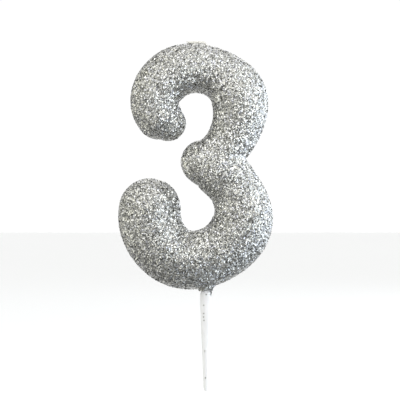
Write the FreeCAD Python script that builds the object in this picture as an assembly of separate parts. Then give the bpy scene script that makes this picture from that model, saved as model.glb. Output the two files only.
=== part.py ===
import FreeCAD, Part
import math
import os

# Number birthday candle: a moulded wax numeral three under a skin of glitter, with a cotton wick in its
# crest and a white plastic pick in its underside.
#
# Frame: millimetres, +Z up, +X to the reader's right, the numeral's face towards -Y. The origin lies on
# the pick's axis, at the top of the straight shank, just below the collar.

V = FreeCAD.Vector

# ---- Driving dimensions: millimetres and degrees ----

# The numeral is two strokes, the upper and the lower bowl, which meet at the waist. A stroke is drawn by
# stations along its centreline, each (x, z, half width), joined by one smooth curve.
UPPER_STATIONS = [
    (-13.4, 50.4, 6.7),
    (-14.4, 56.2, 7.1),
    (-8.5, 63.0, 7.4),
    (4.2, 62.0, 7.2),
    (8.9, 57.3, 8.1),
    (9.2, 48.6, 7.5),
    (0.0, 37.1, 6.8),
]
LOWER_STATIONS = [
    (-0.8, 37.3, 6.4),
    (2.8, 35.6, 7.6),
    (7.8, 30.5, 7.5),
    (10.5, 20.1, 8.7),
    (6.5, 13.5, 8.5),
    (-8.3, 10.1, 8.6),
    (-16.0, 20.6, 9.0),
    (-16.0, 23.8, 8.9),
]
# The free end of each bowl is blunter than a plain round end. A ball, (x, z, radius), fills its corner.
UPPER_TERMINAL = (-10.8, 48.4, 5.2)
LOWER_TERMINAL = (-14.3, 25.6, 6.6)
DEPTH_TO_WIDTH = 0.9          # a stroke is slightly flatter from front to back than it is wide
COAT_THICKNESS = 0.4          # lacquer and flakes together

SECTION_SPACING = 1.6         # between the sections of a stroke's loft
END_ANGLE_STEP = 10.0         # between the sections of a stroke's rounded end
END_LAST_ANGLE = 87.0         # the last of them, a flat under half a millimetre across
QUARTERS = 4                  # a section is drawn as so many arcs of its ellipse

# The pick: a straight shank, a long taper to a blunt bevelled tip, and above the shank a slightly thinner
# neck, which runs on into the wax and ends in a barbed anchor.
SHANK_RADIUS = 1.6
SHANK_LENGTH = 3.0            # down to where the taper starts
PICK_LENGTH = 28.1            # down to the tip
TIP_RADIUS = 0.65
TIP_FLAT_RADIUS = 0.4
TIP_BEVEL_HEIGHT = 0.9
NECK_RADIUS = 1.4
NECK_TOP = 3.2                # inside the wax
ANCHOR_RADIUS = 1.1
ANCHOR_TOP = 13.6
ANCHOR_CHAMFER = 0.5
BARB_BASES = (5.6, 9.2)       # undersides of the two barbs
BARB_RADIUS = 1.5
BARB_HEIGHT = 1.8

# The collar round the pick's entry.
COLLAR_LIP_RADIUS = 1.9       # at its underside
COLLAR_LIP_HEIGHT = 0.6
COLLAR_FLARE_RADIUS = 3.1     # where it runs out on the numeral's underside
COLLAR_FLARE_HEIGHT = 2.3
COLLAR_SAG = 0.35             # how far the flare curves in from a straight cone

# The wick: straight up through the crest, then bent over to the left.
WICK_RADIUS = 0.4
WICK_X = 0.0
WICK_FOOT = 60.1              # lower end, inside the wax
WICK_TOP = 71.5               # centreline of the bent part
WICK_BEND_RADIUS = 0.9
WICK_TIP_X = -4.9
WICK_CLEARANCE = 0.12         # round the wick where it comes out through the coat

PARTS_FOLDER = "parts"


def section(centre, heading, half_width, half_depth):
    """An elliptical section square to the centreline, which runs along heading."""
    across = V(-heading.z, 0, heading.x)
    ellipse = Part.Ellipse(centre + across * half_width, centre + V(0, half_depth, 0), centre)
    quarter = 2.0 * math.pi / QUARTERS
    arcs = [Part.ArcOfEllipse(ellipse, i * quarter, (i + 1) * quarter).toShape() for i in range(QUARTERS)]
    return Part.Wire(arcs)


def rounded_end(centre, outward, heading, half_width, half_depth):
    """Shrinking sections of a stroke's rounded end, from near the full section out to a small flat."""
    profiles = []
    angle = END_ANGLE_STEP
    while angle < END_LAST_ANGLE + END_ANGLE_STEP:
        turned_by = math.radians(min(angle, END_LAST_ANGLE))
        place = centre + outward * (half_width * math.sin(turned_by))
        shrink = math.cos(turned_by)
        profiles.append(section(place, heading, half_width * shrink, half_depth * shrink))
        angle += END_ANGLE_STEP
    return profiles


def stroke(stations, inset):
    """One stroke of the numeral as a solid, drawn in by inset all round."""
    # The curve runs through the stations in the XZ plane and carries the half width as its Y.
    curve = Part.BSplineCurve()
    curve.interpolate([V(x, half_width, z) for x, z, half_width in stations])
    count = round(curve.length() / SECTION_SPACING) + 1
    profiles = []
    for index, point in enumerate(curve.discretize(Number=count)):
        heading = curve.tangent(curve.parameter(point))[0]
        heading = V(heading.x, 0, heading.z).normalize()
        centre = V(point.x, 0, point.z)
        half_width = point.y - inset
        half_depth = point.y * DEPTH_TO_WIDTH - inset
        if index == 0:
            profiles = rounded_end(centre, heading * -1, heading, half_width, half_depth)[::-1]
        profiles.append(section(centre, heading, half_width, half_depth))
        if index == count - 1:
            profiles += rounded_end(centre, heading, heading, half_width, half_depth)
    return Part.makeLoft(profiles, True, False)


def terminal(ball, inset):
    """The ball in the free end of a bowl, flattened front to back like the strokes."""
    x, z, radius = ball
    squeeze = FreeCAD.Matrix()
    squeeze.scale(radius - inset, radius * DEPTH_TO_WIDTH - inset, radius - inset)
    squeeze.move(V(x, 0, z))
    return Part.makeSphere(1.0, V(0, 0, 0), V(0, 1, 0)).transformGeometry(squeeze)


def numeral(inset):
    """Both strokes joined at the waist, with their terminals."""
    upper = stroke(UPPER_STATIONS, inset).fuse(terminal(UPPER_TERMINAL, inset))
    lower = stroke(LOWER_STATIONS, inset).fuse(terminal(LOWER_TERMINAL, inset))
    return upper.fuse(lower)


def turned(profile):
    """A solid of revolution about the pick's axis from (radius, height) corners."""
    corners = [V(radius, 0, height) for radius, height in profile]
    outline = Part.makePolygon(corners + corners[:1])
    return Part.Face(outline).revolve(V(0, 0, 0), V(0, 0, 1), 360)


def make_pick():
    """Shank, tapered spike, blunt bevelled tip and barbed anchor, moulded in one piece."""
    profile = [
        (0, -PICK_LENGTH),
        (TIP_FLAT_RADIUS, -PICK_LENGTH),
        (TIP_RADIUS, -PICK_LENGTH + TIP_BEVEL_HEIGHT),
        (SHANK_RADIUS, -SHANK_LENGTH),
        (SHANK_RADIUS, 0),
        (NECK_RADIUS, 0),
        (NECK_RADIUS, NECK_TOP),
        (ANCHOR_RADIUS, NECK_TOP),
    ]
    for base in BARB_BASES:
        profile += [(ANCHOR_RADIUS, base), (BARB_RADIUS, base), (ANCHOR_RADIUS, base + BARB_HEIGHT)]
    profile += [
        (ANCHOR_RADIUS, ANCHOR_TOP - ANCHOR_CHAMFER),
        (ANCHOR_RADIUS - ANCHOR_CHAMFER, ANCHOR_TOP),
        (0, ANCHOR_TOP),
    ]
    return turned(profile)


def make_wick(radius):
    """The wick as a round cord: up through the crest, then bent over flat to the left."""
    foot = V(WICK_X, 0, WICK_FOOT)
    bend_start = V(WICK_X, 0, WICK_TOP - WICK_BEND_RADIUS)
    bend_end = V(WICK_X - WICK_BEND_RADIUS, 0, WICK_TOP)
    half_bend = math.radians(45.0)
    bend_middle = V(
        WICK_X - WICK_BEND_RADIUS * (1 - math.cos(half_bend)),
        0,
        WICK_TOP - WICK_BEND_RADIUS * (1 - math.sin(half_bend)),
    )
    tip = V(WICK_TIP_X, 0, WICK_TOP)
    path = Part.Wire([
        Part.LineSegment(foot, bend_start).toShape(),
        Part.Arc(bend_start, bend_middle, bend_end).toShape(),
        Part.LineSegment(bend_end, tip).toShape(),
    ])
    circle = Part.Wire(Part.makeCircle(radius, foot, V(0, 0, 1)))
    return path.makePipeShell([circle], True, False)


def make_collar(numeral_outside, pick):
    """The meniscus of wax and lacquer between the pick and the numeral's underside."""
    lip = V(COLLAR_LIP_RADIUS, 0, COLLAR_LIP_HEIGHT)
    flare = V(COLLAR_FLARE_RADIUS, 0, COLLAR_FLARE_HEIGHT)
    middle = (lip + flare) * 0.5 + V(-COLLAR_SAG, 0, COLLAR_SAG)
    top = V(0, 0, COLLAR_FLARE_HEIGHT)
    axis_foot = V(0, 0, COLLAR_LIP_HEIGHT)
    outline = Part.Wire([
        Part.LineSegment(axis_foot, lip).toShape(),
        Part.Arc(lip, middle, flare).toShape(),
        Part.LineSegment(flare, top).toShape(),
        Part.LineSegment(top, axis_foot).toShape(),
    ])
    collar = Part.Face(outline).revolve(V(0, 0, 0), V(0, 0, 1), 360)
    return collar.cut(numeral_outside).cut(pick)


def build():
    """Every piece of the candle, by node name."""
    outside = numeral(0.0)
    core = numeral(COAT_THICKNESS)
    pick = make_pick()
    wick = make_wick(WICK_RADIUS)
    wick_hole = make_wick(WICK_RADIUS + WICK_CLEARANCE)
    return {
        "wax_body": core.cut(pick).cut(wick),
        "glitter_coat": outside.cut(core).cut(pick).cut(wick_hole),
        "wick": wick,
        "pick": pick,
        "pick_seal": make_collar(outside, pick),
    }


def main():
    os.makedirs(PARTS_FOLDER, exist_ok=True)
    for node, shape in build().items():
        solids = shape.Solids
        solid = solids[0] if len(solids) == 1 else shape
        box = solid.BoundBox
        print(f"{node}: {len(solids)} solid, valid {solid.isValid()}, {solid.Volume:.1f} mm3")
        print(f"  x {box.XMin:.1f}..{box.XMax:.1f}, z {box.ZMin:.1f}..{box.ZMax:.1f}")
        solid.exportStep(f"{PARTS_FOLDER}/{node}.step")


main()
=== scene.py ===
# %% [markdown]
# # A glittered number candle, piece by piece
#
# A numeral candle is a wax casting with a wick in its crest and a plastic pick in its underside. It is
# dipped in clear lacquer and rolled in metal flakes, so what we see is never the wax: it is thousands of
# small mirrors at slightly different angles. The notebook follows the same order as the workshop: the
# studio, the finishes, the coated numeral, the flakes, the collar, the wick and the pick.

# %% Load the candle's frame
import math
import random

import bmesh
import bpy
from mathutils import Matrix, Vector, noise


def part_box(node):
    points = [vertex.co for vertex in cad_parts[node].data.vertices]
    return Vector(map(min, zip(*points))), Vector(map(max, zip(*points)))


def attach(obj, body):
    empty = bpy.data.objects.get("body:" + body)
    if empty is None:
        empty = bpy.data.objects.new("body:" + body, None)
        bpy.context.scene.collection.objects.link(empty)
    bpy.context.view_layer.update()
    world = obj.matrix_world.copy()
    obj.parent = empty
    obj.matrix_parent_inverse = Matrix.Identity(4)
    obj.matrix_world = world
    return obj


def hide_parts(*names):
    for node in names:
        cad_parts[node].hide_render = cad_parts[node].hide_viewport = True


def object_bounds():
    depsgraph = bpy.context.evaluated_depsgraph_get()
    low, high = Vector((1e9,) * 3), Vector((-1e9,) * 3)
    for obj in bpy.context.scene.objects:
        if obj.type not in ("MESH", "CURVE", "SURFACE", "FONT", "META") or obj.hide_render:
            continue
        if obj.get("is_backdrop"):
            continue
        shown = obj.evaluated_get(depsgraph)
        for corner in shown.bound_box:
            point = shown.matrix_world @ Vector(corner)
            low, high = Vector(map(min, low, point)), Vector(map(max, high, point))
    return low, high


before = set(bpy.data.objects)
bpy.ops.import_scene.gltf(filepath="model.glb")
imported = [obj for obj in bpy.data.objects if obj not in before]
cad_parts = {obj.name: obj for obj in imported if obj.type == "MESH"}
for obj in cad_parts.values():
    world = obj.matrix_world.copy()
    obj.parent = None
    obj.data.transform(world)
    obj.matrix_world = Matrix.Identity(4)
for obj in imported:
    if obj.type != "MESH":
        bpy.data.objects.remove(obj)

cad_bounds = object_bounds()
MM = 0.001
corners_mm = [[round(v / MM, 1) for v in corner] for corner in cad_bounds]
print("candle from", corners_mm[0], "to", corners_mm[1], "mm")

# %% [markdown]
# ## Small helpers
#
# Every new piece starts in a bmesh and ends as an object that sits at the origin, unturned and unscaled,
# with its place in its mesh. Shader graphs are long to write out node by node, so two helpers add a node
# with its settings and join two sockets.

# %% Helpers for pieces
def make_piece(name, bm, materials, smooth=True):
    """Writes a bmesh to a new object at the origin."""
    mesh = bpy.data.meshes.new(name)
    bm.to_mesh(mesh)
    bm.free()
    mesh.polygons.foreach_set("use_smooth", [smooth] * len(mesh.polygons))
    for material in materials:
        mesh.materials.append(material)
    piece = bpy.data.objects.new(name, mesh)
    bpy.context.scene.collection.objects.link(piece)
    print(name, "has", len(mesh.vertices), "vertices and", len(mesh.polygons), "faces")
    return piece


def applied(piece):
    """Replaces an object's mesh by what its modifiers make of it."""
    depsgraph = bpy.context.evaluated_depsgraph_get()
    mesh = bpy.data.meshes.new_from_object(piece.evaluated_get(depsgraph))
    piece.modifiers.clear()
    piece.data = mesh
    return piece


# %% Helpers for node trees
def add_node(tree, kind, settings=None, **inputs):
    """Adds a node; settings are its own properties, inputs are socket values by name with _ for spaces."""
    node = tree.nodes.new(kind)
    for key, value in (settings or {}).items():
        setattr(node, key, value)
    for key, value in inputs.items():
        node.inputs[key.replace("_", " ")].default_value = value
    return node


def join(tree, source, target):
    """Links one node's output to another's input."""
    tree.links.new(source, target)


def new_group(name, inputs, outputs):
    """A shader node group with named sockets, each given as (name, type, default)."""
    group = bpy.data.node_groups.new(name, "ShaderNodeTree")
    for label, kind, default in inputs:
        socket = group.interface.new_socket(label, in_out="INPUT", socket_type=kind)
        socket.default_value = default
    for label, kind in outputs:
        group.interface.new_socket(label, in_out="OUTPUT", socket_type=kind)
    return group, group.nodes.new("NodeGroupInput"), group.nodes.new("NodeGroupOutput")


def new_material(name, **constants):
    """A material with one Principled shader and its plain socket values."""
    material = bpy.data.materials.new(name)
    material.use_nodes = True
    shader = material.node_tree.nodes["Principled BSDF"]
    for key, value in constants.items():
        shader.inputs[key.replace("_", " ")].default_value = value
    return material, material.node_tree, shader


# %% [markdown]
# ## The camera
#
# A small product is taken from straight in front with a long lens, so that its sides don't splay. The
# lens follows from the height that the picture covers at the candle and the distance it is taken from.

# %% Camera
PICTURE_HEIGHT = 114.3 * MM
CAMERA_DISTANCE = 0.62
SENSOR_MM = 36.0
LOOK_AT = Vector((-1.66 * MM, 0.0, 26.46 * MM))

camera_data = bpy.data.cameras.new("camera")
camera_data.sensor_width = SENSOR_MM
camera_data.lens = SENSOR_MM * CAMERA_DISTANCE / PICTURE_HEIGHT
camera_data.clip_start = 0.01
camera = bpy.data.objects.new("camera", camera_data)
camera.location = LOOK_AT + Vector((0, -CAMERA_DISTANCE, 0))
camera.rotation_euler = (math.radians(90), 0, 0)
bpy.context.scene.collection.objects.link(camera)
bpy.context.scene.camera = camera
bpy.context.scene.view_settings.view_transform = "Standard"
print("lens", round(camera_data.lens), "mm")

# %% [markdown]
# ## The studio
#
# Glitter shows whatever stands round it, so the surroundings matter more than the lamps. The candle
# stands in a tent of soft panels with dark gaps between them. The strongest panel stands on the right and
# is a little cool, a weaker and warmer one stands opposite, and the low front is dim: it draws the dark
# bands along the underside of each stroke. The camera itself sees plain white.

# %% World
# Three tints and six strengths make the whole tent. The key panel is the strong one on the right, the
# fill stands opposite, and the dim one lies under the camera.
WHITE = (1.0, 1.0, 1.0)
COOL = (0.92, 1.0, 1.1)
WARM = (1.0, 1.0, 0.9)
KEY = 2.0
FILL = 1.2
BACK = 1.0
EDGE = 0.8
SOFT = 0.55
DIM = 0.15
BACKDROP_STRENGTH = 1.02

# Each panel: the way it lies from the candle, the cosine where it fades out, its strength and its tint.
PANELS = {
    "camera side": ((0.0, -1.0, 0.0), 0.8, SOFT, WHITE),
    "right": ((1.0, -0.2, 0.0), 0.7, KEY, COOL),
    "left": ((-1.0, -0.2, 0.0), 0.7, FILL, WARM),
    "low right": ((1.0, -0.2, -1.0), 0.75, EDGE, COOL),
    "top right": ((1.0, -0.2, 1.0), 0.75, SOFT, WHITE),
    "top": ((0.0, -0.2, 1.0), 0.75, SOFT, WHITE),
    "upper left": ((-1.0, -0.5, 1.0), 0.75, SOFT, WARM),
    "low left": ((-1.0, -0.5, -1.0), 0.75, SOFT, WHITE),
    "low front": ((0.0, -1.0, -1.2), 0.75, DIM, WARM),
    "behind": ((0.0, 1.0, 0.0), 0.1, BACK, WHITE),
    "behind, high": ((0.2, 0.5, 1.0), 0.7, BACK, WHITE),
}

world = bpy.data.worlds.new("tent")
bpy.context.scene.world = world
world.use_nodes = True
tree = world.node_tree
tree.nodes.clear()
direction = add_node(tree, "ShaderNodeTexCoord")


def panel_light(way, fade, strength, tint):
    """One panel's colour, falling smoothly to black as a direction leaves the panel's middle."""
    dot = add_node(tree, "ShaderNodeVectorMath", {"operation": "DOT_PRODUCT"})
    dot.inputs[1].default_value = Vector(way).normalized()
    ramp = add_node(tree, "ShaderNodeMapRange", {"interpolation_type": "SMOOTHSTEP"}, From_Min=fade)
    glow = add_node(tree, "ShaderNodeVectorMath", {"operation": "SCALE"})
    glow.inputs[0].default_value = Vector(tint) * strength
    join(tree, direction.outputs["Generated"], dot.inputs[0])
    join(tree, dot.outputs["Value"], ramp.inputs["Value"])
    join(tree, ramp.outputs["Result"], glow.inputs["Scale"])
    return glow.outputs["Vector"]


surround = None
for way, fade, strength, tint in PANELS.values():
    light = panel_light(way, fade, strength, tint)
    if surround is None:
        surround = light
    else:
        both = add_node(tree, "ShaderNodeVectorMath", {"operation": "ADD"})
        join(tree, surround, both.inputs[0])
        join(tree, light, both.inputs[1])
        surround = both.outputs["Vector"]
path = add_node(tree, "ShaderNodeLightPath")
seen = add_node(tree, "ShaderNodeBackground", Color=(1, 1, 1, 1), Strength=BACKDROP_STRENGTH)
around = add_node(tree, "ShaderNodeBackground", Strength=1.0)
choose = add_node(tree, "ShaderNodeMixShader")
out = add_node(tree, "ShaderNodeOutputWorld")
join(tree, surround, around.inputs["Color"])
join(tree, path.outputs["Is Camera Ray"], choose.inputs["Fac"])
join(tree, around.outputs["Background"], choose.inputs[1])
join(tree, seen.outputs["Background"], choose.inputs[2])
join(tree, choose.outputs["Shader"], out.inputs["Surface"])
print("tent of", len(PANELS), "panels,", len(tree.nodes), "nodes")

# %% [markdown]
# ## The lamps
#
# The tent lights the candle from everywhere. Six small square soft boxes, far weaker than room lamps,
# stand close in front and above, so that some flakes flash while their neighbours stay grey. Two larger
# ones stand further off behind and light the rims. The camera doesn't see any of them.

# %% Lamps
CANDLE_CENTRE = Vector((0.0, 0.0, 36 * MM))


def add_lamp(name, place, size, watts, colour):
    """A square soft box that points at the candle's middle."""
    data = bpy.data.lights.new(name, "AREA")
    data.size = size
    data.energy = watts
    data.color = colour
    lamp = bpy.data.objects.new(name, data)
    lamp.location = place
    aim = CANDLE_CENTRE - Vector(place)
    lamp.rotation_euler = aim.to_track_quat("-Z", "Y").to_euler()
    lamp.visible_camera = False
    bpy.context.scene.collection.objects.link(lamp)


# The small lamps lift the front of the strokes, and the top lamps light the crest and the shoulders.
SMALL_LAMP = 0.02
TOP_LAMP = 0.07
LOW_LAMP = 0.2
RIM_LAMP = 1.3
add_lamp("near_front", (0.03, -0.20, 0.06), 0.14, SMALL_LAMP, WHITE)
add_lamp("high_front", (0.05, -0.09, 0.08), 0.08, SMALL_LAMP, WHITE)
add_lamp("high_right", (0.09, -0.06, 0.08), 0.08, SMALL_LAMP, WARM)
add_lamp("side_right", (0.15, -0.10, 0.05), 0.12, SMALL_LAMP, WARM)
add_lamp("near_top", (0.0, -0.12, 0.17), 0.13, TOP_LAMP, WHITE)
add_lamp("near_top_left", (-0.12, -0.12, 0.14), 0.13, TOP_LAMP, WHITE)
add_lamp("low_behind", (0.0, 0.30, -0.30), 0.50, LOW_LAMP, WHITE)
add_lamp("rim_right", (0.50, 0.35, 0.12), 0.60, RIM_LAMP, COOL)

# %% [markdown]
# ## The floor
#
# The floor is one large plain square under the tip of the pick. It is only a backdrop, so the flakes
# don't mirror it and it throws no shadow: the light from the low panels and the low lamp passes it.

# %% Floor
FLOOR_HALF = 3.0
floor_material, floor_tree, floor_shader = new_material("white_floor", Roughness=0.9, Emission_Strength=0.12)
floor_shader.inputs["Emission Color"].default_value = (1, 1, 1, 1)
paper = add_node(floor_tree, "ShaderNodeTexNoise", Scale=40.0, Detail=3.0)
paper_tone = add_node(floor_tree, "ShaderNodeMapRange", To_Min=0.93, To_Max=0.96)
join(floor_tree, paper.outputs["Fac"], paper_tone.inputs["Value"])
join(floor_tree, paper_tone.outputs["Result"], floor_shader.inputs["Base Color"])

bm = bmesh.new()
bmesh.ops.create_grid(bm, x_segments=1, y_segments=1, size=FLOOR_HALF)
bmesh.ops.translate(bm, verts=bm.verts, vec=(0, 0, cad_bounds[0][2]))
floor = make_piece("floor", bm, [floor_material])
floor.visible_glossy = False
floor.visible_shadow = False
floor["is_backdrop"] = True

# %% [markdown]
# ## A bed of glitter as a node group
#
# Between and under the flakes that stand proud lies a bed of flakes sunk in lacquer. Each cell of a
# Voronoi pattern is one flake: the cell's random colour gives it a tone, a roughness and a tilt of its
# own, and the distance to the cell's edge gives the dark lacquer line between two flakes. The tones lean
# towards the dark end, which is painted shade under and between the proud flakes. The collar needs the
# same bed, so it is a group with named sockets.

# %% Glitter bed group
# The lean towards the dark end is painted shade under and between the proud flakes.
SHADE_LEAN = 1.6


def build_glitter_bed():
    """The look of flakes in lacquer, as a group with named sockets."""
    group, given, result = new_group(
        "glitter_bed",
        [
            ("Flakes per metre", "NodeSocketFloat", 2200.0),
            ("Tilt", "NodeSocketFloat", 0.5),
            # The dark end is the lacquer line's own colour and also painted shade.
            ("Lacquer and shade", "NodeSocketColor", (0.13, 0.13, 0.124, 1)),
            ("Light", "NodeSocketColor", (0.82, 0.82, 0.78, 1)),
            ("Line width", "NodeSocketFloat", 0.10),
        ],
        [("Colour", "NodeSocketColor"), ("Roughness", "NodeSocketFloat"), ("Normal", "NodeSocketVector")],
    )
    place = add_node(group, "ShaderNodeTexCoord")
    cells = add_node(group, "ShaderNodeTexVoronoi", {"feature": "F1"})
    edges = add_node(group, "ShaderNodeTexVoronoi", {"feature": "DISTANCE_TO_EDGE"})
    for texture in (cells, edges):
        join(group, place.outputs["Object"], texture.inputs["Vector"])
        join(group, given.outputs["Flakes per metre"], texture.inputs["Scale"])
    channels = add_node(group, "ShaderNodeSeparateColor")
    join(group, cells.outputs["Color"], channels.inputs["Color"])

    # The tone leans towards the dark end, painted shade under the proud flakes, with a few bright flakes.
    lean = add_node(group, "ShaderNodeMath", {"operation": "POWER"})
    lean.inputs[1].default_value = SHADE_LEAN
    tone = add_node(group, "ShaderNodeMix", {"data_type": "RGBA"})
    join(group, channels.outputs["Red"], lean.inputs[0])
    join(group, lean.outputs["Value"], tone.inputs["Factor"])
    join(group, given.outputs["Lacquer and shade"], tone.inputs["A"])
    join(group, given.outputs["Light"], tone.inputs["B"])
    line = add_node(group, "ShaderNodeMapRange")
    join(group, edges.outputs["Distance"], line.inputs["Value"])
    join(group, given.outputs["Line width"], line.inputs["From Max"])
    shaded = add_node(group, "ShaderNodeMix", {"data_type": "RGBA"})
    join(group, line.outputs["Result"], shaded.inputs["Factor"])
    join(group, given.outputs["Lacquer and shade"], shaded.inputs["A"])
    join(group, tone.outputs["Result"], shaded.inputs["B"])
    join(group, shaded.outputs["Result"], result.inputs["Colour"])

    rough = add_node(group, "ShaderNodeMapRange", To_Min=0.22, To_Max=0.55)
    join(group, channels.outputs["Green"], rough.inputs["Value"])
    join(group, rough.outputs["Result"], result.inputs["Roughness"])

    # The cell's colour, centred on zero, pushes the normal a little to one side.
    centred = add_node(group, "ShaderNodeVectorMath", {"operation": "SUBTRACT"})
    centred.inputs[1].default_value = (0.5, 0.5, 0.5)
    scaled = add_node(group, "ShaderNodeVectorMath", {"operation": "SCALE"})
    surface = add_node(group, "ShaderNodeNewGeometry")
    pushed = add_node(group, "ShaderNodeVectorMath", {"operation": "ADD"})
    unit = add_node(group, "ShaderNodeVectorMath", {"operation": "NORMALIZE"})
    join(group, cells.outputs["Color"], centred.inputs[0])
    join(group, centred.outputs["Vector"], scaled.inputs[0])
    join(group, given.outputs["Tilt"], scaled.inputs["Scale"])
    join(group, surface.outputs["Normal"], pushed.inputs[0])
    join(group, scaled.outputs["Vector"], pushed.inputs[1])
    join(group, pushed.outputs["Vector"], unit.inputs[0])
    join(group, unit.outputs["Vector"], result.inputs["Normal"])
    return group


glitter_bed = build_glitter_bed()
print("group", glitter_bed.name, "with", len(glitter_bed.nodes), "nodes")


# %% Materials of the coat
def bed_material(name, flakes_per_metre, tilt):
    """Lacquer full of flakes: the group drives the metal, and a thin clear coat lies over it."""
    material, tree, shader = new_material(name, Metallic=0.92, Coat_Weight=0.25, Coat_Roughness=0.12)
    bed = tree.nodes.new("ShaderNodeGroup")
    bed.node_tree = glitter_bed
    bed.inputs["Flakes per metre"].default_value = flakes_per_metre
    bed.inputs["Tilt"].default_value = tilt
    join(tree, bed.outputs["Colour"], shader.inputs["Base Color"])
    join(tree, bed.outputs["Roughness"], shader.inputs["Roughness"])
    join(tree, bed.outputs["Normal"], shader.inputs["Normal"])
    return material


coat_material = bed_material("silver_glitter_bed", 2300.0, 1.1)
collar_material = bed_material("collar_glitter_bed", 2600.0, 1.3)
print("coat materials:", coat_material.name, "and", collar_material.name)

# %% [markdown]
# ## The flakes' own metals
#
# The flakes that stand proud are cut from film in a few lots, and each lot has its own tone and polish.
# The darkest lot is a darker copy of the silver that stands for flakes in shadow: its colour is painted
# shade. A flake is smaller than anything one could see a pattern on, so each lot is one plain metal, and
# the variety comes from mixing six lots and from the angle that each flake lies at.

# %% Flake lots
FLAKE_LOTS = {
    "flake_bright_silver": ((0.86, 0.86, 0.84), 0.27),
    "flake_silver": ((0.74, 0.74, 0.71), 0.32),
    "flake_satin_silver": ((0.64, 0.64, 0.605), 0.42),
    "flake_champagne": ((0.69, 0.68, 0.63), 0.34),
    "flake_lilac": ((0.63, 0.635, 0.675), 0.32),
    # The darkest lot: painted shade, a darker copy of the silver for flakes in shadow.
    "flake_smoke": ((0.42, 0.42, 0.40), 0.36),
}
flake_materials = []
for lot, (colour, roughness) in FLAKE_LOTS.items():
    material, tree, shader = new_material(lot, Metallic=1.0, Roughness=roughness)
    shader.inputs["Base Color"].default_value = (*colour, 1)
    flake_materials.append(material)
print(len(flake_materials), "lots of flakes")

# %% [markdown]
# ## The numeral's skin
#
# The coat's solid already has the numeral's size and outline, so its skin starts as a merged copy of
# that solid, of the wax in it, and of a plug for the pick's channel. A voxel remesh melts the three into
# one closed skin of even faces, which noise can then move. On the real candle the crease where the two
# bowls meet is softened by lacquer on the faces but stays sharp in the outline, so only the faces there
# are smoothed. It is replaced as a whole: the CAD coat has the right size, but no grain.

# %% Numeral skin
SKIN_VOXEL = 0.315 * MM
PLUG_RADIUS = 1.9 * MM
PLUG_BOTTOM = 2.2 * MM
PLUG_TOP = 14.4 * MM
PLUG_SIDES = 24
WICK_RADIUS = 0.4 * MM
WICK_PLUG_RADIUS = 0.7 * MM
WICK_PLUG_BELOW_FOOT = 0.5 * MM
WICK_PLUG_BELOW_CREST = 0.75 * MM
SOLID_WELD = 0.0005 * MM
coat_high = Vector(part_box("glitter_coat")[1])
wick_low, wick_high = (Vector(corner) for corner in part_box("wick"))

bm = bmesh.new()
for node in ("glitter_coat", "wax_body"):
    bm.from_mesh(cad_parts[node].data)
bmesh.ops.remove_doubles(bm, verts=bm.verts, dist=SOLID_WELD)


def add_plug(bm, x, radius, bottom, top):
    """A closed cylinder that fills a channel."""
    bmesh.ops.create_cone(
        bm, cap_ends=True, segments=PLUG_SIDES, radius1=radius, radius2=radius, depth=top - bottom,
        matrix=Matrix.Translation((x, 0, (top + bottom) / 2)),
    )


add_plug(bm, 0.0, PLUG_RADIUS, PLUG_BOTTOM, PLUG_TOP)
add_plug(
    bm, wick_high.x - WICK_RADIUS, WICK_PLUG_RADIUS,
    wick_low.z - WICK_PLUG_BELOW_FOOT, coat_high.z - WICK_PLUG_BELOW_CREST,
)
skin = make_piece("numeral_skin", bm, [coat_material])
remesh = skin.modifiers.new("melt", "REMESH")
remesh.mode = "VOXEL"
remesh.voxel_size = SKIN_VOXEL
remesh.use_smooth_shade = True
applied(skin)
print("melted into", len(skin.data.vertices), "vertices")

# %% Soften the crease at the waist
WAIST = Vector((4.5 * MM, 0, 37.6 * MM))
CREASE_REACH = 9.5 * MM
CREASE_MIN_DEPTH = 2.4 * MM
CREASE_PASSES = 45
OVERALL_PASSES = 3


def relax(bm, verts, passes):
    """Moves vertices halfway towards the middle of their neighbours, so many times."""
    for _ in range(passes):
        bmesh.ops.smooth_vert(bm, verts=verts, factor=0.5, use_axis_x=True, use_axis_y=True, use_axis_z=True)


bm = bmesh.new()
bm.from_mesh(skin.data)
crease = [
    v for v in bm.verts
    if abs(v.co.y) > CREASE_MIN_DEPTH and Vector((v.co.x - WAIST.x, v.co.z - WAIST.z)).length < CREASE_REACH
]
relax(bm, crease, CREASE_PASSES)
relax(bm, bm.verts, OVERALL_PASSES)
bm.to_mesh(skin.data)
bm.free()
skin.data.update()
print("softened", len(crease), "vertices round the waist")


# %% Lumps in the coat
LUMP_SIZE = 3.4 * MM
LUMP_HEIGHT = 0.03 * MM
FLAKE_ROOM = 0.13 * MM


def roughen(piece, size, height, draw_in=0.0):
    """Moves a dense mesh along its normals: in by draw_in, and in and out by noise of the given size."""
    bm = bmesh.new()
    bm.from_mesh(piece.data)
    bm.normal_update()
    for v in bm.verts:
        v.co += v.normal * (height * noise.noise(v.co / size) - draw_in)
    bm.to_mesh(piece.data)
    bm.free()
    piece.data.update()
    print(piece.name, "roughened by", round(height / MM, 2), "mm")


roughen(skin, LUMP_SIZE, LUMP_HEIGHT, draw_in=FLAKE_ROOM)

# %% [markdown]
# ## Thirty-six thousand flakes
#
# A flake is a hexagon punched from film, less than half a millimetre across, pressed into wet lacquer at
# a slant. Placing them one by one in Python would be slow, and a particle system can't be read as a
# mesh, so Geometry Nodes scatters them: points spread evenly over the skin, a random slant and size for
# each, and an instance of one small closed flake. The result is made real and applied, so that every
# flake is part of the mesh. Its seed is fixed.

# %% One flake
FLAKE_ACROSS = 0.43 * MM
FLAKE_DEPTH = 0.07 * MM
FLAKE_SIDES = 6
FLAKE_FACES = FLAKE_SIDES + 1
FLAKE_WELD = 0.001 * MM
SMALLEST_FLAKE = 0.72
LARGEST_FLAKE = 1.18

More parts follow.
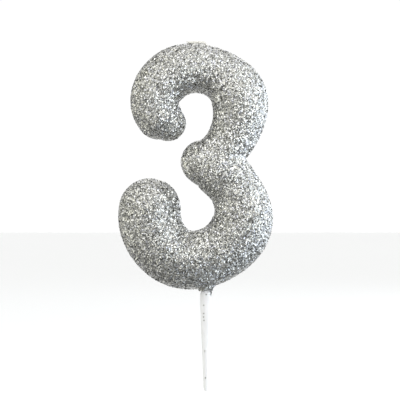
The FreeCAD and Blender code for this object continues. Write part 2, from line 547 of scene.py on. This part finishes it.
bm = bmesh.new()
bmesh.ops.create_cone(
    bm, cap_ends=True, segments=FLAKE_SIDES, radius1=0, radius2=FLAKE_ACROSS / math.sqrt(3),
    depth=FLAKE_DEPTH,
)
bmesh.ops.remove_doubles(bm, verts=bm.verts, dist=FLAKE_WELD)
flake_pattern = make_piece("flake_pattern", bm, flake_materials, smooth=False)


# %% Scatter network
def build_scatter():
    """Flakes over the part of a mesh between two heights."""
    group = bpy.data.node_groups.new("scatter_flakes", "GeometryNodeTree")
    for label, kind in (
        ("Geometry", "NodeSocketGeometry"),
        ("Bottom", "NodeSocketFloat"),
        ("Top", "NodeSocketFloat"),
        ("Density", "NodeSocketFloat"),
        ("Spacing", "NodeSocketFloat"),
        ("Slant", "NodeSocketFloat"),
        ("Seed", "NodeSocketInt"),
    ):
        group.interface.new_socket(label, in_out="INPUT", socket_type=kind)
    group.interface.new_socket("Geometry", in_out="OUTPUT", socket_type="NodeSocketGeometry")
    given = group.nodes.new("NodeGroupInput")
    result = group.nodes.new("NodeGroupOutput")

    height = add_node(group, "GeometryNodeInputPosition")
    parts = add_node(group, "ShaderNodeSeparateXYZ")
    above = add_node(group, "FunctionNodeCompare", {"operation": "GREATER_THAN"})
    below = add_node(group, "FunctionNodeCompare", {"operation": "LESS_EQUAL"})
    both = add_node(group, "FunctionNodeBooleanMath", {"operation": "AND"})
    join(group, height.outputs["Position"], parts.inputs["Vector"])
    join(group, parts.outputs["Z"], above.inputs[0])
    join(group, given.outputs["Bottom"], above.inputs[1])
    join(group, parts.outputs["Z"], below.inputs[0])
    join(group, given.outputs["Top"], below.inputs[1])
    join(group, above.outputs["Result"], both.inputs[0])
    join(group, below.outputs["Result"], both.inputs[1])

    points = add_node(group, "GeometryNodeDistributePointsOnFaces", {"distribute_method": "POISSON"})
    join(group, given.outputs["Geometry"], points.inputs["Mesh"])
    join(group, both.outputs["Boolean"], points.inputs["Selection"])
    join(group, given.outputs["Spacing"], points.inputs["Distance Min"])
    join(group, given.outputs["Density"], points.inputs["Density Max"])
    join(group, given.outputs["Seed"], points.inputs["Seed"])

    # Slant: a small turn about the flake's own X and Y, and any turn about its normal.
    negative = add_node(group, "ShaderNodeMath", {"operation": "MULTIPLY"})
    negative.inputs[1].default_value = -1.0
    low = add_node(group, "ShaderNodeCombineXYZ", Z=-math.pi)
    high = add_node(group, "ShaderNodeCombineXYZ", Z=math.pi)
    angles = add_node(group, "FunctionNodeRandomValue", {"data_type": "FLOAT_VECTOR"})
    turn = add_node(group, "FunctionNodeEulerToRotation")
    rotate = add_node(group, "FunctionNodeRotateRotation", {"rotation_space": "LOCAL"})
    join(group, given.outputs["Slant"], negative.inputs[0])
    for axis in ("X", "Y"):
        join(group, negative.outputs["Value"], low.inputs[axis])
        join(group, given.outputs["Slant"], high.inputs[axis])
    join(group, low.outputs["Vector"], angles.inputs[0])
    join(group, high.outputs["Vector"], angles.inputs[1])
    join(group, given.outputs["Seed"], angles.inputs["Seed"])
    join(group, angles.outputs[0], turn.inputs["Euler"])
    join(group, points.outputs["Rotation"], rotate.inputs["Rotation"])
    join(group, turn.outputs["Rotation"], rotate.inputs["Rotate By"])

    size = add_node(group, "FunctionNodeRandomValue", {"data_type": "FLOAT"})
    size.inputs[2].default_value = SMALLEST_FLAKE
    size.inputs[3].default_value = LARGEST_FLAKE
    flake = add_node(group, "GeometryNodeObjectInfo")
    flake.inputs["Object"].default_value = flake_pattern
    place = add_node(group, "GeometryNodeInstanceOnPoints")
    join(group, given.outputs["Seed"], size.inputs["Seed"])
    join(group, points.outputs["Points"], place.inputs["Points"])
    join(group, flake.outputs["Geometry"], place.inputs["Instance"])
    join(group, rotate.outputs["Rotation"], place.inputs["Rotation"])
    join(group, size.outputs[1], place.inputs["Scale"])

    # Each instance draws a lot, which survives as a face attribute when the instances are made real.
    lot = add_node(group, "FunctionNodeRandomValue", {"data_type": "INT"})
    lot.inputs[4].default_value = 0
    lot.inputs[5].default_value = len(FLAKE_LOTS) - 1
    keep = add_node(group, "GeometryNodeStoreNamedAttribute", {"domain": "INSTANCE", "data_type": "INT"})
    keep.inputs["Name"].default_value = "lot"
    real = add_node(group, "GeometryNodeRealizeInstances")
    read = add_node(group, "GeometryNodeInputNamedAttribute", {"data_type": "INT"})
    read.inputs["Name"].default_value = "lot"
    paint = add_node(group, "GeometryNodeSetMaterialIndex")
    join(group, given.outputs["Seed"], lot.inputs["Seed"])
    join(group, place.outputs["Instances"], keep.inputs["Geometry"])
    join(group, lot.outputs[2], keep.inputs["Value"])
    join(group, keep.outputs["Geometry"], real.inputs["Geometry"])
    join(group, real.outputs["Geometry"], paint.inputs["Geometry"])
    join(group, read.outputs["Attribute"], paint.inputs["Material Index"])
    join(group, paint.outputs["Geometry"], result.inputs["Geometry"])
    return group


scatter = build_scatter()


def scatter_flakes(name, base, bottom, top, density, spacing, slant, seed):
    """A new piece of real flakes over the part of base between two heights."""
    piece = bpy.data.objects.new(name, base.data.copy())
    bpy.context.scene.collection.objects.link(piece)
    modifier = piece.modifiers.new("scatter", "NODES")
    modifier.node_group = scatter
    values = {
        "Bottom": bottom, "Top": top, "Density": density,
        "Spacing": spacing, "Slant": slant, "Seed": seed,
    }
    for item in scatter.interface.items_tree:
        if item.in_out == "INPUT" and item.name in values:
            modifier[item.identifier] = values[item.name]
    applied(piece)
    print(name, "has", len(piece.data.polygons) // FLAKE_FACES, "flakes")
    return piece


# %% Scatter over the numeral
FLAKES_PER_AREA = 1.1e7
FLAKE_SPACING = 0.245 * MM
FLAKE_SLANT = math.radians(28)
SPLIT_HEIGHT = 33.2 * MM
FAR_BELOW = -1.0              # past both ends of the candle
FAR_ABOVE = 1.0
UPPER_SEED = 11
LOWER_SEED = 12

flakes_upper = scatter_flakes(
    "flakes_upper_bowl", skin, SPLIT_HEIGHT, FAR_ABOVE,
    FLAKES_PER_AREA, FLAKE_SPACING, FLAKE_SLANT, UPPER_SEED,
)
flakes_lower = scatter_flakes(
    "flakes_lower_bowl", skin, FAR_BELOW, SPLIT_HEIGHT,
    FLAKES_PER_AREA, FLAKE_SPACING, FLAKE_SLANT, LOWER_SEED,
)

# %% Grain between the flakes
GRAIN_SIZE = 0.55 * MM
GRAIN_HEIGHT = 0.06 * MM
roughen(skin, GRAIN_SIZE, GRAIN_HEIGHT)

for piece in (skin, flakes_upper, flakes_lower):
    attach(piece, "root")
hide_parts("glitter_coat")

# %% [markdown]
# ## The pick
#
# The pick is injection moulded in glossy white plastic: a shank, a long taper to a blunt tip, and an
# anchor with two barbs that the wax closes round. Everything is round, so a profile is spun about Z. The
# long taper is first cut into short lengths, so that the two halves of the mould can leave their parting
# line, a hair-thin ridge down each side, as real geometry.

# %% Pick profile
pick_low, pick_high = (Vector(corner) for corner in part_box("pick"))
SHANK_RADIUS = pick_high.x
SHANK_LENGTH = 3.0 * MM
TIP_RADIUS = 0.65 * MM
TIP_FLAT_RADIUS = 0.36 * MM
TIP_BEVEL_HEIGHT = 0.9 * MM
NECK_RADIUS = 1.4 * MM
NECK_TOP = 3.2 * MM
ANCHOR_RADIUS = 1.1 * MM
ANCHOR_CHAMFER = 0.5 * MM
BARB_BASES = (5.6 * MM, 9.2 * MM)
BARB_RADIUS = 1.5 * MM
BARB_HEIGHT = 1.8 * MM
EDGE_ROUND = 0.12 * MM
PICK_STEPS = 64
TAPER_CUTS = 30

bevel_top = pick_low.z + TIP_BEVEL_HEIGHT
profile = [
    (0, pick_low.z),
    (TIP_FLAT_RADIUS, pick_low.z),
    (TIP_RADIUS - EDGE_ROUND / 2, bevel_top - EDGE_ROUND * 2),
    (TIP_RADIUS, bevel_top),
    (SHANK_RADIUS, -SHANK_LENGTH),
    (SHANK_RADIUS, -EDGE_ROUND),
    (SHANK_RADIUS - EDGE_ROUND / 3, -EDGE_ROUND / 3),
    (SHANK_RADIUS - EDGE_ROUND, 0),
    (NECK_RADIUS, 0),
    (NECK_RADIUS, NECK_TOP),
    (ANCHOR_RADIUS, NECK_TOP),
]
for base in BARB_BASES:
    profile += [(ANCHOR_RADIUS, base), (BARB_RADIUS, base), (ANCHOR_RADIUS, base + BARB_HEIGHT)]
profile += [
    (ANCHOR_RADIUS, pick_high.z - ANCHOR_CHAMFER),
    (ANCHOR_RADIUS - ANCHOR_CHAMFER, pick_high.z),
    (0, pick_high.z),
]
print("pick profile of", len(profile), "corners,", round((pick_high.z - pick_low.z) / MM, 1), "mm long")


# %% Spin the profile
SPIN_WELD = 0.002 * MM
LONG_EDGE = 10 * MM


def spun(bm, steps):
    """Turns the chain of edges in a bmesh, from axis to axis or closed, about Z."""
    bmesh.ops.spin(
        bm, geom=bm.verts[:] + bm.edges[:], cent=(0, 0, 0), axis=(0, 0, 1),
        angle=math.tau, steps=steps, use_merge=True, use_duplicate=False,
    )
    bmesh.ops.remove_doubles(bm, verts=bm.verts, dist=SPIN_WELD)
    bmesh.ops.recalc_face_normals(bm, faces=bm.faces)


def chain(bm, corners, closed=False):
    """Vertices at (radius, height) corners in the XZ plane, joined by edges."""
    verts = [bm.verts.new((radius, 0, height)) for radius, height in corners]
    following = verts[1:] + verts[:1] if closed else verts[1:]
    return [bm.edges.new(pair) for pair in zip(verts, following)]


bm = bmesh.new()
edges = chain(bm, profile)
taper = [e for e in edges if e.calc_length() > LONG_EDGE]
bmesh.ops.subdivide_edges(bm, edges=taper, cuts=TAPER_CUTS)
spun(bm, PICK_STEPS)
print("pick spun into", len(bm.verts), "vertices")

# %% Parting line
PARTING_HEIGHT = 0.045 * MM
PARTING_TOP = -EDGE_ROUND
PARTING_INNER_RADIUS = TIP_RADIUS * 0.9
SEAM_TOLERANCE = 0.01 * MM

seam = [
    v for v in bm.verts
    if abs(v.co.y) < SEAM_TOLERANCE and abs(v.co.x) > PARTING_INNER_RADIUS and v.co.z < PARTING_TOP
]
for v in seam:
    v.co.x += math.copysign(PARTING_HEIGHT, v.co.x)
print("parting line through", len(seam), "vertices")

# %% [markdown]
# Moulded plastic is never quite even: the white clouds a little, the polish varies with the flow of the
# melt, and the mould's lengthwise polishing marks print on it. All three are noise on Object
# coordinates, stretched along Z for the marks. The last few millimetres down to the tip fade to a
# plain, slightly greyer white.

# %% White plastic
plastic, tree, shader = new_material("moulded_white_plastic", Coat_Weight=0.15, Coat_Roughness=0.2, IOR=1.49)
place = add_node(tree, "ShaderNodeTexCoord")
cloud = add_node(tree, "ShaderNodeTexNoise", Scale=420.0, Detail=4.0)
white = add_node(tree, "ShaderNodeMix", {"data_type": "RGBA"})
white.inputs["A"].default_value = (0.72, 0.72, 0.73, 1)
white.inputs["B"].default_value = (0.80, 0.80, 0.805, 1)
join(tree, place.outputs["Object"], cloud.inputs["Vector"])
join(tree, cloud.outputs["Fac"], white.inputs["Factor"])

TIP_GREY_FROM = -27.5 * MM
TIP_GREY_TO = -22.5 * MM
parts = add_node(tree, "ShaderNodeSeparateXYZ")
tip_mask = add_node(tree, "ShaderNodeMapRange", {"interpolation_type": "SMOOTHSTEP"})
tip_mask.inputs["From Min"].default_value = TIP_GREY_FROM
tip_mask.inputs["From Max"].default_value = TIP_GREY_TO
greyed = add_node(tree, "ShaderNodeMix", {"data_type": "RGBA"})
greyed.inputs["A"].default_value = (0.76, 0.76, 0.76, 1)
join(tree, place.outputs["Object"], parts.inputs["Vector"])
join(tree, parts.outputs["Z"], tip_mask.inputs["Value"])
join(tree, tip_mask.outputs["Result"], greyed.inputs["Factor"])
join(tree, white.outputs["Result"], greyed.inputs["B"])
join(tree, greyed.outputs["Result"], shader.inputs["Base Color"])

stretch = add_node(tree, "ShaderNodeMapping", Scale=(1.0, 1.0, 0.06))
marks = add_node(tree, "ShaderNodeTexNoise", Scale=5200.0, Detail=3.0)
polish = add_node(tree, "ShaderNodeMapRange", To_Min=0.26, To_Max=0.44)
bump = add_node(tree, "ShaderNodeBump", Strength=0.25, Distance=0.02 * MM)
join(tree, place.outputs["Object"], stretch.inputs["Vector"])
join(tree, stretch.outputs["Vector"], marks.inputs["Vector"])
join(tree, marks.outputs["Fac"], polish.inputs["Value"])
join(tree, marks.outputs["Fac"], bump.inputs["Height"])
join(tree, polish.outputs["Result"], shader.inputs["Roughness"])
join(tree, bump.outputs["Normal"], shader.inputs["Normal"])

SHARP_ANGLE = math.radians(35)
pick = make_piece("pick_moulding", bm, [plastic])
pick.data.set_sharp_from_angle(angle=SHARP_ANGLE)
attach(pick, "root")
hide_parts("pick")

# %% [markdown]
# ## The collar
#
# Where the pick enters, wax and lacquer have crept down it and set as an uneven ring, which took its own
# flakes, and one run of lacquer went further down on the right. The ring is a closed profile spun about
# Z, the run is a stretched ball, and a voxel remesh melts them together before noise makes them uneven.

# %% Collar
# The ring's profile: radius and height in millimetres.
COLLAR_PROFILE = [
    (1.36, 0.74), (1.62, 0.50), (1.92, 0.62), (2.05, 1.0), (2.3, 1.5), (2.8, 2.1), (3.3, 2.7), (1.36, 2.7),
]
COLLAR_STEPS = 48
COLLAR_SEED = 13
COLLAR_VOXEL = 0.13 * MM
COLLAR_LUMP_SIZE = 0.9 * MM
COLLAR_LUMP_HEIGHT = 0.16 * MM
RUN_CENTRE = Vector((1.50, -0.62, 0.25)) * MM
RUN_RADII = Vector((0.20, 0.26, 1.25)) * MM

bm = bmesh.new()
chain(bm, [(radius * MM, height * MM) for radius, height in COLLAR_PROFILE], closed=True)
spun(bm, COLLAR_STEPS)
bmesh.ops.create_uvsphere(
    bm, u_segments=16, v_segments=12, radius=1.0,
    matrix=Matrix.Translation(RUN_CENTRE) @ Matrix.Diagonal((*RUN_RADII, 1)),
)
collar = make_piece("lacquer_collar", bm, [collar_material])
remesh = collar.modifiers.new("melt", "REMESH")
remesh.mode = "VOXEL"
remesh.voxel_size = COLLAR_VOXEL
remesh.use_smooth_shade = True
applied(collar)
roughen(collar, COLLAR_LUMP_SIZE, COLLAR_LUMP_HEIGHT)
collar_flakes = scatter_flakes(
    "collar_flakes", collar, FAR_BELOW, FAR_ABOVE,
    FLAKES_PER_AREA, FLAKE_SPACING, FLAKE_SLANT, COLLAR_SEED,
)
for piece in (collar, collar_flakes):
    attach(piece, "root")
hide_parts("pick_seal")

# %% [markdown]
# ## Stray flakes on the pick
#
# Glitter gets everywhere, and a few flakes stick to the pick. Four sit where they catch the eye from in
# front; the others are strewn by a seeded random draw, thicker near the collar. Each is laid flat on the
# pick at its height and angle.

# %% Stray flakes
# The four in front: degrees round the pick from its front, and height in millimetres.
FRONT_STRAYS = [(-23.0, -5.9), (-25.0, -6.9), (-21.0, -7.9), (-8.0, -24.3)]
STRAY_COUNT = 16
STRAY_SCALE = 0.95
STRAY_REACH = 24 * MM         # how far down they are strewn
STRAY_CROWDING = 2.2          # higher means more of them near the collar
STRAY_START = 0.3 * MM
STRAY_SEED = 31


def pick_radius(height):
    """The pick's radius at a height below the shank's top."""
    if height > -SHANK_LENGTH:
        return SHANK_RADIUS
    down = (height + SHANK_LENGTH) / (bevel_top + SHANK_LENGTH)
    return SHANK_RADIUS + (TIP_RADIUS - SHANK_RADIUS) * down


draw = random.Random(STRAY_SEED)
spots = [(math.radians(angle), height * MM) for angle, height in FRONT_STRAYS]
for _ in range(STRAY_COUNT):
    angle = draw.uniform(0, math.tau)
    spots.append((angle, -STRAY_REACH * draw.random() ** STRAY_CROWDING - STRAY_START))

bm = bmesh.new()
for number, (angle, height) in enumerate(spots):
    lay_flat = Matrix.Rotation(math.radians(90), 4, "X") @ Matrix.Rotation(draw.uniform(0, math.pi), 4, "Z")
    stand_off = Matrix.Translation((0, -pick_radius(height), height))
    turn = Matrix.Rotation(angle, 4, "Z")
    made = bmesh.ops.create_cone(
        bm, cap_ends=True, segments=FLAKE_SIDES,
        radius1=0, radius2=STRAY_SCALE * FLAKE_ACROSS / math.sqrt(3),
        depth=FLAKE_DEPTH, matrix=turn @ stand_off @ lay_flat,
    )
    # The four in front take the darkest lot, whose colour is painted shade.
    if number < len(FRONT_STRAYS):
        lot = len(flake_materials) - 1
    else:
        lot = draw.randrange(len(flake_materials))
    for face in {face for v in made["verts"] for face in v.link_faces}:
        face.material_index = lot
bmesh.ops.remove_doubles(bm, verts=bm.verts, dist=FLAKE_WELD)
strays = make_piece("stray_flakes", bm, flake_materials, smooth=False)
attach(strays, "root")
bpy.data.objects.remove(flake_pattern)

# %% [markdown]
# ## The wick
#
# The wick is three plies of cotton twisted together. It leaves the crest, and was bent over to the left
# while the lacquer was wet, so it lies half sunk in the glitter. A ply is a small circle that is extruded
# from station to station along a helix round the wick's path, so it follows the bend as real cotton does.
# At the cut end a few fibres have come loose.

# %% Path of the wick
WICK_BEND_RADIUS = 0.9 * MM
wick_top = wick_high.z - WICK_RADIUS
wick_x = wick_high.x - WICK_RADIUS
rise = wick_top - WICK_BEND_RADIUS - wick_low.z
bend = WICK_BEND_RADIUS * math.pi / 2
lie = wick_x - WICK_BEND_RADIUS - wick_low.x
wick_length = rise + bend + lie


def wick_frame(distance):
    """A matrix at a distance along the wick's path, with its Z along the path and its Y unturned."""
    if distance < rise:
        turned, point = 0.0, Vector((wick_x, 0, wick_low.z + distance))
    elif distance < rise + bend:
        turned = (distance - rise) / WICK_BEND_RADIUS
        centre = Vector((wick_x - WICK_BEND_RADIUS, 0, wick_top - WICK_BEND_RADIUS))
        point = centre + WICK_BEND_RADIUS * Vector((math.cos(turned), 0, math.sin(turned)))
    else:
        turned = math.pi / 2
        point = Vector((wick_x - WICK_BEND_RADIUS - (distance - rise - bend), 0, wick_top))
    return Matrix.Translation(point) @ Matrix.Rotation(-turned, 4, "Y")


print("wick path", round(wick_length / MM, 2), "mm long")


# %% Sweep a round section
def sweep(bm, frames, radii, sides):
    """A closed tube through frames, each a matrix with its Z along the tube, as wide as radii say."""
    ring = bmesh.ops.create_circle(
        bm, cap_ends=True, segments=sides, radius=1.0, matrix=frames[0] @ Matrix.Scale(radii[0], 4),
    )["verts"]
    for i in range(1, len(frames)):
        edges = {edge for v in ring for edge in v.link_edges if edge.other_vert(v) in ring}
        grown = bmesh.ops.extrude_edge_only(bm, edges=list(edges))["geom"]
        ring = [item for item in grown if isinstance(item, bmesh.types.BMVert)]
        before = frames[i - 1] @ Matrix.Scale(radii[i - 1], 4)
        after = frames[i] @ Matrix.Scale(radii[i], 4)
        bmesh.ops.transform(bm, matrix=after @ before.inverted(), verts=ring)
    edges = {edge for v in ring for edge in v.link_edges if edge.other_vert(v) in ring}
    bmesh.ops.contextual_create(bm, geom=list(edges))


# %% Three plies
PLY_COUNT = 3
PLY_RADIUS = 0.205 * MM
PLY_OFFSET = 0.195 * MM
PLY_PITCH = 1.7 * MM
PLY_SIDES = 8
PLY_STATIONS = 110

bm = bmesh.new()
for ply in range(PLY_COUNT):
    frames = []
    for i in range(PLY_STATIONS + 1):
        distance = wick_length * i / PLY_STATIONS
        twist = math.tau * (distance / PLY_PITCH + ply / PLY_COUNT)
        turned = wick_frame(distance) @ Matrix.Rotation(twist, 4, "Z")
        frames.append(turned @ Matrix.Translation((PLY_OFFSET, 0, 0)))
    sweep(bm, frames, [PLY_RADIUS] * len(frames), PLY_SIDES)
print(PLY_COUNT, "plies,", len(bm.verts), "vertices")

# %% Frayed end
FIBRE_COUNT = 16
FIBRE_RADIUS = 0.032 * MM
FIBRE_STATIONS = 6
FIBRE_SPREAD = 0.75
FIBRE_SIDES = 5
FIBRE_TAPER = 0.1             # how much thinner at each station
FIBRE_ROOT = 0.15 * MM        # how far inside the cut end they start
BUNDLE_MM = 0.25
SHORT_STEP_MM = 0.08
LONG_STEP_MM = 0.20

for _ in range(FIBRE_COUNT):
    frame_now = wick_frame(wick_length - FIBRE_ROOT) @ Matrix.Translation(
        (draw.uniform(-BUNDLE_MM, BUNDLE_MM) * MM, draw.uniform(-BUNDLE_MM, BUNDLE_MM) * MM, 0)
    )
    step = draw.uniform(SHORT_STEP_MM, LONG_STEP_MM) * MM
    curl = (draw.uniform(-FIBRE_SPREAD, FIBRE_SPREAD) / 3, draw.uniform(-FIBRE_SPREAD, FIBRE_SPREAD) / 3)
    frames = [frame_now]
    for _ in range(FIBRE_STATIONS):
        frame_now = (
            frame_now @ Matrix.Translation((0, 0, step))
            @ Matrix.Rotation(curl[0], 4, "X") @ Matrix.Rotation(curl[1], 4, "Y")
        )
        frames.append(frame_now)
    sweep(bm, frames, [FIBRE_RADIUS * (1 - FIBRE_TAPER * i) for i in range(len(frames))], FIBRE_SIDES)
bmesh.ops.recalc_face_normals(bm, faces=bm.faces)
print("frayed into", FIBRE_COUNT, "fibres")

# %% Cotton
cotton, tree, shader = new_material(
    "waxed_cotton", Sheen_Weight=0.25, Sheen_Roughness=0.5, Specular_IOR_Level=0.3
)
place = add_node(tree, "ShaderNodeTexCoord")
fuzz = add_node(tree, "ShaderNodeTexNoise", Scale=14000.0, Detail=3.0, Roughness=0.7)
shade = add_node(tree, "ShaderNodeTexNoise", Scale=1500.0, Detail=2.0)
thread = add_node(tree, "ShaderNodeMix", {"data_type": "RGBA"})
thread.inputs["A"].default_value = (0.62, 0.60, 0.55, 1)
thread.inputs["B"].default_value = (0.92, 0.91, 0.87, 1)
both = add_node(tree, "ShaderNodeMath", {"operation": "ADD"})
half = add_node(tree, "ShaderNodeMath", {"operation": "MULTIPLY"})
half.inputs[1].default_value = 0.58
dry = add_node(tree, "ShaderNodeMapRange", To_Min=0.6, To_Max=0.9)
bump = add_node(tree, "ShaderNodeBump", Strength=0.6, Distance=0.03 * MM)
for texture in (fuzz, shade):
    join(tree, place.outputs["Object"], texture.inputs["Vector"])
join(tree, fuzz.outputs["Fac"], both.inputs[0])
join(tree, shade.outputs["Fac"], both.inputs[1])
join(tree, both.outputs["Value"], half.inputs[0])
join(tree, half.outputs["Value"], thread.inputs["Factor"])
join(tree, thread.outputs["Result"], shader.inputs["Base Color"])
join(tree, fuzz.outputs["Fac"], dry.inputs["Value"])
join(tree, dry.outputs["Result"], shader.inputs["Roughness"])
join(tree, fuzz.outputs["Fac"], bump.inputs["Height"])
join(tree, bump.outputs["Normal"], shader.inputs["Normal"])

wick = make_piece("twisted_wick", bm, [cotton])
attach(wick, "root")
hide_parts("wick")

# %% [markdown]
# ## The wax inside
#
# The wax casting keeps its CAD node, since the coat hides all of it and its shape is right. It still
# gets a finish, because a library part may be opened up or melted down: pale wax with a cloudy bloom,
# faint flow marks and a soft gloss.

# %% Wax
wax, tree, shader = new_material("paraffin_wax", Coat_Weight=0.2, Coat_Roughness=0.35, IOR=1.44)
place = add_node(tree, "ShaderNodeTexCoord")
bloom = add_node(tree, "ShaderNodeTexNoise", Scale=160.0, Detail=5.0, Distortion=0.6)
pale = add_node(tree, "ShaderNodeMix", {"data_type": "RGBA"})
pale.inputs["A"].default_value = (0.70, 0.69, 0.66, 1)
pale.inputs["B"].default_value = (0.86, 0.855, 0.83, 1)
gloss = add_node(tree, "ShaderNodeMapRange", To_Min=0.35, To_Max=0.6)
bump = add_node(tree, "ShaderNodeBump", Strength=0.2, Distance=0.1 * MM)
join(tree, place.outputs["Object"], bloom.inputs["Vector"])
join(tree, bloom.outputs["Fac"], pale.inputs["Factor"])
join(tree, bloom.outputs["Fac"], gloss.inputs["Value"])
join(tree, bloom.outputs["Fac"], bump.inputs["Height"])
join(tree, pale.outputs["Result"], shader.inputs["Base Color"])
join(tree, gloss.outputs["Result"], shader.inputs["Roughness"])
join(tree, bump.outputs["Normal"], shader.inputs["Normal"])

wax_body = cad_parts["wax_body"]
wax_body.data.materials.clear()
wax_body.data.materials.append(wax)
print("wax on", wax_body.name)

# %% [markdown]
# ## The finished size
#
# The finished candle must still be the size of its CAD model, so both boxes are written down side by
# side before the frame is closed.

visual_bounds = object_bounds()
for label, box in (("CAD", cad_bounds), ("visual", visual_bounds)):
    print(label, [[round(v / MM, 2) for v in corner] for corner in box])
